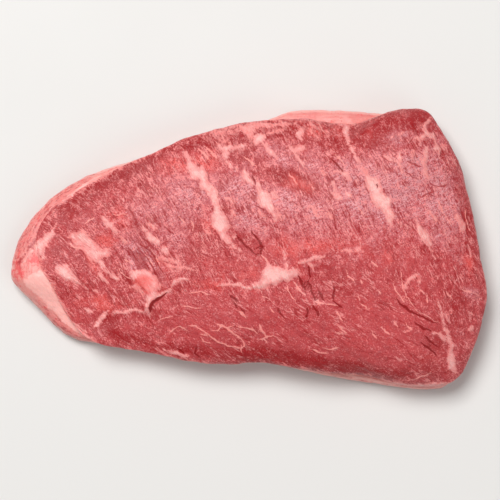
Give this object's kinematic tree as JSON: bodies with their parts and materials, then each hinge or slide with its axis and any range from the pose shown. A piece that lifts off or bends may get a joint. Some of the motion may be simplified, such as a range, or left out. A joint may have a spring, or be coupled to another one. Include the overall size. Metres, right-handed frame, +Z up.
{
  "type": "raw picanha",
  "caption": "Raw picanha, a three-cornered beef rump cap lying on its fat cap with the lean side up; rests flat on a board, tray or counter.",
  "frame": {"origin": "on the table under the middle of the piece", "axes": "+X from the thin point to the thick end, +Y across, +Z up from the fat to the lean"},
  "size_m": [0.3037, 0.1801, 0.045],
  "materials": {
    "lean": "moist raw beef, satin",
    "fat": "moist beef fat, satin"
  },
  "bodies": {
    "root": {"lean": "lean", "fat_cap": "fat"}
  },
  "joints": []
}
